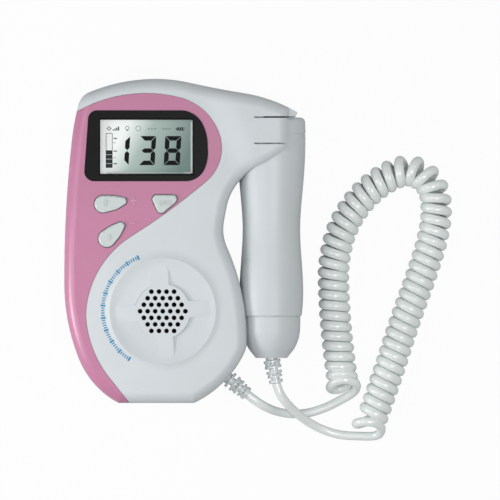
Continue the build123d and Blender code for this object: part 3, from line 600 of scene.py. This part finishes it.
def turn_points(axis, sizes):
    """Points of the coil's turns, left-handed about its axis, from its right side."""
    radius = (sizes.coil - sizes.diameter) / 2 / cos(pi / TURN_POINTS)
    turns = [0.0]
    for number, (before, here) in enumerate(zip(axis, axis[1:])):
        first = axis[max(number - BEND_REACH, 0)]
        last = axis[min(number + BEND_REACH, len(axis) - 1)]
        bend = 0.0
        if first != before != last:
            way_in, way_out = before - first, last - before
            bend = way_in.angle(way_out) * 2 / (way_in.length + way_out.length)
        # the turns fan out round a bend, where their inner sides touch
        turns.append(turns[-1] + (here - before).length * (1 - sizes.fan * bend * radius))
    turns = [turn * TURNS / turns[-1] for turn in turns]
    points, at = [], 0
    for number in range(round(TURNS * TURN_POINTS) + 1):
        turn = number / TURN_POINTS
        while at < len(axis) - 2 and turns[at + 1] < turn:
            at += 1
        along = axis[at + 1] - axis[at]
        place = axis[at] + along * (turn - turns[at]) / (turns[at + 1] - turns[at])
        along.normalize()
        side = along.cross(Vector((0, 0, 1)))
        up = Vector((0, 0, 1)) + along * sizes.lean * max(0.0, 1 - turn)
        points.append(place + radius * (cos(2 * pi * turn) * side + sin(2 * pi * turn) * up))
    return points


class DOPPLER_OT_cord(bpy.types.Operator):
    """Makes the curly cord from the unit to the probe"""

    bl_idname = "doppler.cord"
    bl_label = "Curly cord"

    def execute(self, context):
        sizes = context.scene.doppler_cord
        unit_lead = [Vector(point) * MM for point in UNIT_LEAD]
        coil = [Vector((*point, COIL_HEIGHT)) * MM for point in COIL_AXIS]
        probe_lead = [Vector(point) * MM for point in PROBE_LEAD]
        route = nurbs("coil_axis", coil, AXIS_STEPS)
        turns = turn_points(line_points(route), sizes)
        bpy.data.objects.remove(route)
        # the cord is a little wider where it is wound than on its leads
        widths = [1.0] * len(unit_lead) + [sizes.wound] * len(turns) + [1.0] * len(probe_lead)
        for step in range(1, TAPER + 1):
            width = 1 + (sizes.wound - 1) * step / (TAPER + 1)
            widths[len(unit_lead) - TAPER - 1 + step] = width
            widths[TAPER - step - len(probe_lead)] = width
        curve = nurbs("cord_line", unit_lead + turns + probe_lead, CORD_STEPS, widths)
        path = line_points(curve)
        curve.data.bevel_depth = sizes.diameter / 2
        curve.data.bevel_resolution = 5
        curve.data.use_fill_caps = True
        shape = bmesh.new()
        shape.from_mesh(curve_mesh(curve))
        bpy.data.objects.remove(curve)
        cord = make_piece(
            "curly_cord", shape, soft_pvc("extruded_white_pvc", sizes.white), None
        )
        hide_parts("cord_unit_lead", "cord_coil", "cord_probe_lead")
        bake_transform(cord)
        return {"FINISHED"}


# ------------------------------------------------------------------ strain reliefs
# Discs of a strain relief: place along it from the wall, radius and thickness, in millimetres
RELIEF_CORE = 1.75
RELIEF_BODY = (
    (-3.3, 3.6, 1.2),  # the flange inside the wall
    (-1.0, 2.45, 4.0),  # the neck through the wall
    (5.9, RELIEF_CORE, 10.4),  # the core round the cord
)
RELIEF_RINGS = (
    (1.5, 3.6, 1.15),
    (3.9, 3.55, 1.15),
    (6.1, 3.35, 1.1),
    (7.9, 3.1, 0.95),
    (10.0, 2.9, 1.5),
)
# Webs between the rings: turn of their middle about the core and reach to each side, in degrees
WIDE_WEBS = (0, 66)
NARROW_WEBS = (90, 28)
WEB_INSET = 0.35  # the webs end this far inside the rings
WEB_FOOT = 0.9  # share of the core's radius where a web starts
WEB_STEP = 5  # degrees between the corners of a web
DISC_SEGMENTS = 40
DISC_ROUND = 0.25  # radius of the softened rims
DISC_SHARP = 50.0  # edges that bend more than this many degrees are softened
RELIEF_SHARP = 40.0  # edges that bend more than this many degrees stay sharp
# The reliefs: node, body, place of the wall, turn from x in degrees, first gap with wide webs
RELIEFS = (
    ("unit_strain_relief", "unit", (17.9, -57.6, 14.0), -40.0, 1),
    ("probe_strain_relief", "probe", (36.3, -49.2, 17.2), -79.0, 0),
)


class DOPPLER_OT_reliefs(bpy.types.Operator):
    """Makes the two ribbed strain reliefs, with webs that join their rings by turns"""

    bl_idname = "doppler.reliefs"
    bl_label = "Strain reliefs"

    def execute(self, context):
        material = soft_pvc("moulded_white_pvc", context.scene.doppler_cord.grey)
        for node, body, wall, turn, first in RELIEFS:
            shape = bmesh.new()
            for disc in RELIEF_BODY + RELIEF_RINGS:
                self.disc(shape, *disc)
            for number, (low, high) in enumerate(zip(RELIEF_RINGS, RELIEF_RINGS[1:])):
                middle, reach = WIDE_WEBS if number % 2 == first else NARROW_WEBS
                self.webs(shape, low[0], high[0], high[1] - WEB_INSET, middle, reach)
            # the relief is made upright; its z axis turns to lie along the cord
            along = Vector((cos(radians(turn)), sin(radians(turn)), 0))
            up = Vector((0, 0, 1))
            placed = Matrix((up.cross(along), up, along)).transposed().to_4x4()
            placed = Matrix.Translation(Vector(wall) * MM) @ placed
            bmesh.ops.transform(shape, matrix=placed, verts=shape.verts)
            bmesh.ops.recalc_face_normals(shape, faces=shape.faces)
            mark_sharp(shape, RELIEF_SHARP)
            relief = make_piece(f"{node}_ribs", shape, material, body)
            even_shading(relief)
            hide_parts(node)
        return {"FINISHED"}

    def disc(self, shape, place, radius, thickness):
        """A round disc across the relief's axis with softened rims."""
        made = bmesh.ops.create_cone(
            shape, cap_ends=True, segments=DISC_SEGMENTS, radius1=radius * MM,
            radius2=radius * MM, depth=thickness * MM,
            matrix=Matrix.Translation((0, 0, place * MM)),
        )["verts"]
        edges = {edge for vertex in made for edge in vertex.link_edges}
        rims = [edge for edge in edges if edge.calc_face_angle(0.0) > radians(DISC_SHARP)]
        bmesh.ops.bevel(
            shape, geom=rims, offset=DISC_ROUND * MM, segments=3, profile=0.5, affect="EDGES",
            material=-1,
        )

    def webs(self, shape, low, high, radius, middle, reach):
        """Two webs between two rings, on both sides of the core."""
        outline = []
        for angle in range(0, 360, WEB_STEP):
            off = abs((angle - middle + 90) % 180 - 90)
            corner = radius if off <= reach else WEB_FOOT * RELIEF_CORE
            outline.append((corner * cos(radians(angle)), corner * sin(radians(angle))))
        prism(shape, outline, low, high)


# ------------------------------------------------------------------ display
# Places on the display in millimetres
DIGITS = (("BC", -26.7), ("ABCDG", -15.75), ("ABCDEFG", -5.2))
DIGITS_Y = 37.9
SLANT = 0.056  # the digits lean this much
SEGMENT_GAP = 0.16  # half the gap between two segments
INK_T = 0.04  # thickness of the marks on the display
# Level bar: its sides, foot and top, its line's width, and its filled blocks
LEVEL_LEFT, LEVEL_RIGHT = -33.1, -30.5
LEVEL_FOOT, LEVEL_TOP = 30.7, 45.1
LEVEL_LINE = 0.22
LEVEL_BLOCKS = 4
BLOCK_FIRST, BLOCK_PITCH, BLOCK_HEIGHT = 0.85, 1.87, 1.72
# Ticks right of the level bar: height on the display, length and width
TICKS_X = -30.0
TICKS = ((43.0, 1.5, 0.42), (41.2, 0.9, 0.2), (37.7, 1.5, 0.42), (34.9, 0.9, 0.2), (32.4, 1.5, 0.42))
# Battery mark: x, y, width and height of its outline's lines, its tip and its three cells
BATTERY = (
    (-1.85, 47.6, 3.1, 0.16),
    (-1.85, 46.35, 3.1, 0.16),
    (-0.36, 46.97, 0.16, 1.3),
    (-3.4, 46.97, 0.2, 1.3),
    (-3.66, 46.97, 0.3, 0.6),
    (-2.85, 46.97, 0.72, 0.95),
    (-1.95, 46.97, 0.72, 0.95),
    (-1.05, 46.97, 0.72, 0.95),
)
# Sound mark: a little diamond and four rising bars
DIAMOND = (-31.85, 47.2, 1.0, 0.62)  # x, y, outer and inner radius
BARS, BARS_X, BARS_Y, BARS_PITCH = 4, -30.1, 46.3, 0.75
BAR_WIDTH, BAR_HEIGHT, BAR_GROWTH = 0.5, 0.45, 0.42
# Faint marks: a lamp's ring and its foot, a ring, and two rows of dashes
FAINT_RINGS = ((-24.2, 47.4, 0.85, 0.62), (-19.55, 47.2, 1.15, 0.98))
LAMP_FOOT = (-24.2, 46.35, 0.9, 0.3)
DASHES_X = (-15.2, -13.9, -12.6, -9.0, -7.7, -6.4)
DASH = (47.0, 0.85, 0.34)  # y, width and height
# Painted highlights along the edges of the cell: x, y, width and height
PAINTED_EDGE_HIGHLIGHTS = ((2.8, 39.3, 0.8, 21.6), (-15.2, 28.55, 35.2, 0.7))


def segment(name, width, height, stroke, gap):
    """Outline of one of a digit's seven segments about its middle, with mitred ends."""
    a, b, t, g = width / 2, height / 2, stroke, gap
    top = [(-a + g, b), (a - g, b), (a - t - g, b - t), (-a + t + g, b - t)]
    side = [(a, b - g), (a - t, b - t - g), (a - t, t / 2 + g), (a - t / 2, g), (a, t / 2 + g)]
    # the middle segment ends in points
    point = a - 0.4 * t - g
    middle = [
        (-point, 0), (-a + t + g, t / 2), (a - t - g, t / 2),
        (point, 0), (a - t - g, -t / 2), (-a + t + g, -t / 2),
    ]
    return {
        "A": top,
        "B": side,
        "C": [(x, -y) for x, y in side],
        "D": [(x, -y) for x, y in top],
        "E": [(-x, -y) for x, y in side],
        "F": [(-x, y) for x, y in side],
        "G": middle,
    }[name]


class DOPPLER_OT_display(bpy.types.Operator):
    """Finishes the display and its frame, and makes its digits and small marks"""

    bl_idname = "doppler.display"
    bl_label = "Display"

    def execute(self, context):
        looks = context.scene.doppler_display
        paint("lcd_panel", lcd_painted_reflection(looks))
        paint("display_window", clear_acrylic())
        paint("screen_bezel", gloss_black_abs(context.scene.doppler_case.black))
        low, high = LCD_HIGH.z / MM, LCD_HIGH.z / MM + INK_T
        sizes = [size / MM for size in (looks.digit_width, looks.digit_height, looks.stroke)]
        digits = bmesh.new()
        for names, x in DIGITS:
            for name in names:
                outline = segment(name, *sizes, SEGMENT_GAP)
                outline = [(x + a + SLANT * b, DIGITS_Y + b) for a, b in outline]
                prism(digits, outline, low, high)
        ink = crystal_ink("crystal_ink", looks.ink)
        make_piece("display_digits", digits, ink, "unit", False)
        self.make_small_marks(low, high)
        self.make_faint_marks(low, high)
        # painted highlights stand for the light that the cell's edges catch at its right and at its
        # foot
        edges = bmesh.new()
        for edge in PAINTED_EDGE_HIGHLIGHTS:
            bar(edges, *edge, low, high)
        make_piece("display_painted_highlights", edges, painted_edge_highlight(looks), "unit", False)
        return {"FINISHED"}

    def make_small_marks(self, low, high):
        """Level bar with its ticks, battery mark and sound mark."""
        marks = bmesh.new()
        middle, width = (LEVEL_LEFT + LEVEL_RIGHT) / 2, LEVEL_RIGHT - LEVEL_LEFT
        height = LEVEL_TOP - LEVEL_FOOT
        for x in (LEVEL_LEFT, LEVEL_RIGHT):
            bar(marks, x, LEVEL_FOOT + height / 2, LEVEL_LINE, height, low, high)
        bar(marks, middle, LEVEL_TOP, width, LEVEL_LINE, low, high)
        for step in range(LEVEL_BLOCKS):
            y = LEVEL_FOOT + BLOCK_FIRST + BLOCK_PITCH * step
            bar(marks, middle, y, width, BLOCK_HEIGHT, low, high)
        for y, length, thick in TICKS:
            bar(marks, TICKS_X + length / 2, y, length, thick, low, high)
        for line in BATTERY:
            bar(marks, *line, low, high)
        ring(marks, *DIAMOND, low, high, 4)
        for step in range(BARS):
            tall = BAR_HEIGHT + BAR_GROWTH * step
            x = BARS_X + BARS_PITCH * step
            bar(marks, x, BARS_Y + tall / 2, BAR_WIDTH, tall, low, high)
        ink = crystal_ink("crystal_ink_grey", linear("#363C3E"))
        make_piece("display_marks", marks, ink, "unit", False)

    def make_faint_marks(self, low, high):
        """Marks that the display shows weakly, as when they are off."""
        marks = bmesh.new()
        for circle in FAINT_RINGS:
            ring(marks, *circle, low, high, 24)
        bar(marks, *LAMP_FOOT, low, high)
        for x in DASHES_X:
            bar(marks, x, *DASH, low, high)
        ink = crystal_ink("crystal_ink_pale", linear("#6C7876"))
        make_piece("display_faint_marks", marks, ink, "unit", False)


# ------------------------------------------------------------------ keys and raised marks
# Printed scale round the loudspeaker, in millimetres and degrees
SCALE_CENTRE = (-10.4, -29.2)
SCALE_R = 24.05
SCALE_FROM, SCALE_TO = 112.5, 237.5
SCALE_LINES = 51
SCALE_BOLD = 5  # every fifth line is bold
FINE_LINE, BOLD_LINE = (1.45, 0.5), (2.0, 0.8)  # length and width
PRINT_T, PRINT_SINK = 0.06 * MM, 0.02 * MM  # thickness of the ink and how far it is sunk
ABOVE = 50 * MM  # a height over the whole part
# Raised marks start a little inside their face and stand a little over it
MARK_SINK, MARK_RISE = 0.02, 0.25
ARROW = (
    (-1.3, 0.1), (0, 1.5), (1.3, 0.1), (0.55, 0.1), (0.55, -1.3), (-0.55, -1.3), (-0.55, 0.1),
)
ARROWS = (("volume_up", -33.4, 15.9, 1), ("volume_down", -31.9, 1.4, -1))  # key, x, y, way
# Mark of the power key: x, y, width, height and turn of its two lines, then its ring
POWER_LINES = ((-10.3, 15.9, 0.45, 2.1, 0.0), (-9.0, 15.9, 0.45, 2.4, -28.0))
POWER_RING = (-7.2, 15.9, 1.1, 0.65)
# Lines of the signs beside the volume keys: x, y, width and height
SIGNS = (
    (-21.5, 17.0, 2.5, 0.6),
    (-21.5, 18.0, 0.6, 0.95),
    (-21.5, 16.0, 0.6, 0.95),
    (-22.1, 7.5, 2.5, 0.6),
)


class DOPPLER_OT_marks(bpy.types.Operator):
    """Finishes the keys, and makes their raised marks, the panel's and the printed scale"""

    bl_idname = "doppler.marks"
    bl_label = "Marks"

    def execute(self, context):
        looks = context.scene.doppler_case
        white = moulded_abs("satin_key_abs", looks.keys, 0.34)
        for node in ("button_volume_up", "button_volume_down", "button_power"):
            paint(node, white)
        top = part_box("button_power")[1].z / MM
        low, high = top - MARK_SINK, top + MARK_RISE
        # the marks are a little greyer than the keys: painted shade, so that their low relief shows
        mark = plain("key_mark_painted_shade", "#BEC6C6", 0.4)
        for key, x, y, way in ARROWS:
            arrow = bmesh.new()
            prism(arrow, [(x + a, y + way * b) for a, b in ARROW], low, high)
            make_piece(f"{key}_arrow", arrow, mark, f"key_{key}", False)
        power = bmesh.new()
        for x, y, width, height, turn in POWER_LINES:
            bar(power, x, y, width, height, low, high, turn)
        ring(power, *POWER_RING, low, high)
        make_piece("power_mark", power, mark, "key_power", False)
        signs = bmesh.new()
        for sign in SIGNS:
            bar(signs, *sign, FRONT / MM - MARK_SINK, FRONT / MM + MARK_RISE)
        # the signs are a lighter pink than the panel: painted highlight, so that their low relief
        # shows
        pink = plain("pink_mark_painted_highlight", "#CD92AD", 0.36)
        make_piece("volume_signs", signs, pink, "unit", False)
        self.print_scale(looks)
        return {"FINISHED"}

    def print_scale(self, looks):
        """A printed row of fine and bold lines that follows the rim, left of the loudspeaker."""
        scale = bmesh.new()
        for step in range(SCALE_LINES):
            angle = radians(SCALE_FROM + (SCALE_TO - SCALE_FROM) * step / (SCALE_LINES - 1))
            length, width = FINE_LINE if step % SCALE_BOLD else BOLD_LINE
            placed = (
                Matrix.Translation(Vector((*SCALE_CENTRE, 0)) * MM)
                @ Matrix.Rotation(angle, 4, "Z")
                @ Matrix.Translation(Vector((SCALE_R, 0, 0)) * MM)
                @ Matrix.Diagonal((length * MM, width * MM, 1, 1))
            )
            bmesh.ops.create_grid(scale, x_segments=4, y_segments=1, size=0.5, matrix=placed)
        lift(scale, scale.faces[:], PRINT_T)
        # the ink lies on the shell, so each point is moved up or down to it
        shell = merged("front_shell")
        ground = BVHTree.FromBMesh(shell)
        for vertex in scale.verts:
            above = Vector((vertex.co.x, vertex.co.y, ABOVE))
            vertex.co.z += ground.ray_cast(above, Vector((0, 0, -1)))[0].z - PRINT_SINK
        shell.free()
        make_piece("printed_scale", scale, printed_blue(looks.blue), "unit", False)


# ------------------------------------------------------------------ case
class DOPPLER_OT_case(bpy.types.Operator):
    """Finishes the shells, the pink panel, the battery door and the probe's outside"""

    bl_idname = "doppler.case"
    bl_label = "Case"

    def execute(self, context):
        looks = context.scene.doppler_case
        white = moulded_abs("satin_white_abs", looks.white, 0.46)
        pink = moulded_abs("satin_pink_abs", looks.pink, 0.33)
        smooth_shell("front_shell", white, "unit")
        smooth_shell("rear_shell", white, "unit")
        smooth_shell("pink_panel", pink, "unit")
        paint("battery_door", white)
        tail, head = (corner.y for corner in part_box("probe_handle"))
        smooth_shell("probe_handle", white, "probe", (tail, head))
        smooth_shell("probe_head_cap", white, "probe", (head,))
        smooth_shell("probe_tail_cap", white, "probe", (tail,))
        return {"FINISHED"}


class DOPPLER_OT_insides(bpy.types.Operator):
    """Finishes the pieces inside the unit and the probe, the screws and the socket"""

    bl_idname = "doppler.insides"
    bl_label = "Inside pieces"

    def execute(self, context):
        board = solder_mask()
        for node, material in {
            "lcd_holder": plain("white_light_guide", "#E4E4DE", 0.4),
            "main_board": board,
            "probe_board": board,
            "key_switches": plain("black_nylon", "#1D1E20", 0.5),
            "processor_chip": plain("black_epoxy", "#232426", 0.55),
            "board_parts": plain("ivory_nylon", "#DDD6C2", 0.5),
            "earphone_jack": plain("black_pbt", "#18191B", 0.45),
            "speaker_cone": plain("doped_black_paper", "#0D0E0F", 0.8, size=0.5 * MM),
            "speaker_frame": plain("zinc_plated_steel", "#A9ABAA", 0.35, 1.0),
            "speaker_magnet": plain("sintered_ferrite", "#2A2B2D", 0.7),
            "case_screws": plain("zinc_plated_screws", "#B4B5B3", 0.3, 1.0),
            "battery_contacts": plain("nickel_plated_spring_steel", "#C4C2BC", 0.25, 1.0),
            "battery_cells": cell_jacket(),
            "probe_seal": plain("nitrile_rubber", "#17181A", 0.75),
            "transducer_crystals": plain("silvered_ceramic", "#C9C2AE", 0.4),
            "transducer_backing": plain("filled_epoxy", "#3A3836", 0.7),
        }.items():
            paint(node, material)
        return {"FINISHED"}


# ------------------------------------------------------------------ stage
VIEW_MIDDLE = Vector((27.3, -3.8, 24.0)) * MM
# Lamps: name, place and size in metres, and share of the top lamp's power
LAMPS = (
    ("top_lamp", (0.35, -0.2, 1.45), 0.28, 1.0),
    ("left_lamp", (-0.65, 0.0, 1.1), 0.5, 0.36),
    ("near_lamp", (-0.25, -0.06, 0.14), 0.1, 0.055),
    ("right_lamp", (1.0, 0.5, 1.0), 0.7, 0.3),
)
SKY = 0.3  # strength of the sky
FLOOR_REACH = 4.0  # the floor reaches this far to each side
FLOOR_GAP = 0.05 * MM  # the floor lies this far under the part
GLOW = 0.96  # share of plain white in what the camera sees of the floor


class DOPPLER_OT_stage(bpy.types.Operator):
    """Makes the floor, the lamps and the camera"""

    bl_idname = "doppler.stage"
    bl_label = "Stage"

    def execute(self, context):
        settings = context.scene.doppler_stage
        self.make_floor()
        self.make_world(context.scene)
        for name, place, size, share in LAMPS:
            data = bpy.data.lights.new(name, "AREA")
            data.shape = "DISK"
            data.size = size
            data.energy = settings.lamp * share
            lamp = bpy.data.objects.new(name, data)
            lamp.location = place
            way = VIEW_MIDDLE - lamp.location
            lamp.rotation_euler = way.to_track_quat("-Z", "Y").to_euler()
            context.scene.collection.objects.link(lamp)
        data = bpy.data.cameras.new("camera")
        distance = settings.camera_height - VIEW_MIDDLE.z
        data.lens = data.sensor_width * distance / settings.view_width
        data.clip_end = 10.0
        data.clip_start = 0.05
        camera = bpy.data.objects.new("camera", data)
        camera.location = (VIEW_MIDDLE.x, VIEW_MIDDLE.y, settings.camera_height)
        context.scene.collection.objects.link(camera)
        context.scene.camera = camera
        context.scene.view_settings.view_transform = "Standard"
        return {"FINISHED"}

    def make_floor(self):
        """A wide white floor that keeps a soft shadow."""
        material, tree = new_material("white_sweep")
        rays = add_node(tree, "ShaderNodeLightPath")
        matt = add_node(tree, "ShaderNodeBsdfDiffuse", {"Color": linear("#C8CACC")})
        glow = add_node(tree, "ShaderNodeEmission", {"Color": (1, 1, 1, 1), "Strength": 1.0})
        inputs = {0: rays.outputs["Is Camera Ray"], 1: GLOW}
        seen = add_node(tree, "ShaderNodeMath", inputs, operation="MULTIPLY")
        parts = {0: seen.outputs[0], 1: matt.outputs[0], 2: glow.outputs[0]}
        mix = add_node(tree, "ShaderNodeMixShader", parts)
        add_node(tree, "ShaderNodeOutputMaterial", {"Surface": mix.outputs[0]})
        shape = bmesh.new()
        bmesh.ops.create_grid(shape, x_segments=1, y_segments=1, size=FLOOR_REACH)
        bmesh.ops.translate(shape, verts=shape.verts, vec=(0, 0, -FLOOR_GAP))
        mesh = bpy.data.meshes.new("floor")
        shape.to_mesh(mesh)
        shape.free()
        mesh.materials.append(material)
        floor = bpy.data.objects.new("floor", mesh)
        bpy.context.scene.collection.objects.link(floor)

    def make_world(self, scene):
        """An even pale sky."""
        world = bpy.data.worlds.new("studio")
        world.use_nodes = True
        tree = world.node_tree
        tree.nodes.clear()
        sky = add_node(tree, "ShaderNodeBackground", {"Color": (1, 1, 1, 1), "Strength": SKY})
        add_node(tree, "ShaderNodeOutputWorld", {"Surface": sky.outputs[0]})
        scene.world = world


class DOPPLER_PT_panel(bpy.types.Panel):
    """Lists the steps that make the monitor's looks"""

    bl_label = "Fetal doppler monitor"
    bl_idname = "DOPPLER_PT_panel"
    bl_space_type = "VIEW_3D"
    bl_region_type = "UI"
    bl_category = "Doppler"

    def draw(self, context):
        for step in STEPS:
            self.layout.operator(step.bl_idname)


STEPS = (
    DOPPLER_OT_stage,
    DOPPLER_OT_cord,
    DOPPLER_OT_reliefs,
    DOPPLER_OT_case,
    DOPPLER_OT_display,
    DOPPLER_OT_marks,
    DOPPLER_OT_insides,
)
SETTINGS = {
    "doppler_case": CaseLooks,
    "doppler_cord": CordSizes,
    "doppler_display": DisplayLooks,
    "doppler_stage": StageSettings,
}


def register():
    """Adds the settings, the steps and the panel."""
    for kind in (*SETTINGS.values(), *STEPS, DOPPLER_PT_panel):
        bpy.utils.register_class(kind)
    for name, kind in SETTINGS.items():
        setattr(bpy.types.Scene, name, bpy.props.PointerProperty(type=kind))


def unregister():
    """Takes the settings, the steps and the panel away again."""
    for name in SETTINGS:
        delattr(bpy.types.Scene, name)
    for kind in reversed((*SETTINGS.values(), *STEPS, DOPPLER_PT_panel)):
        bpy.utils.unregister_class(kind)


def main():
    """Runs every step in order."""
    register()
    for step in STEPS:
        group, name = step.bl_idname.split(".")
        getattr(getattr(bpy.ops, group), name)()


if __name__ == "__main__":
    main()
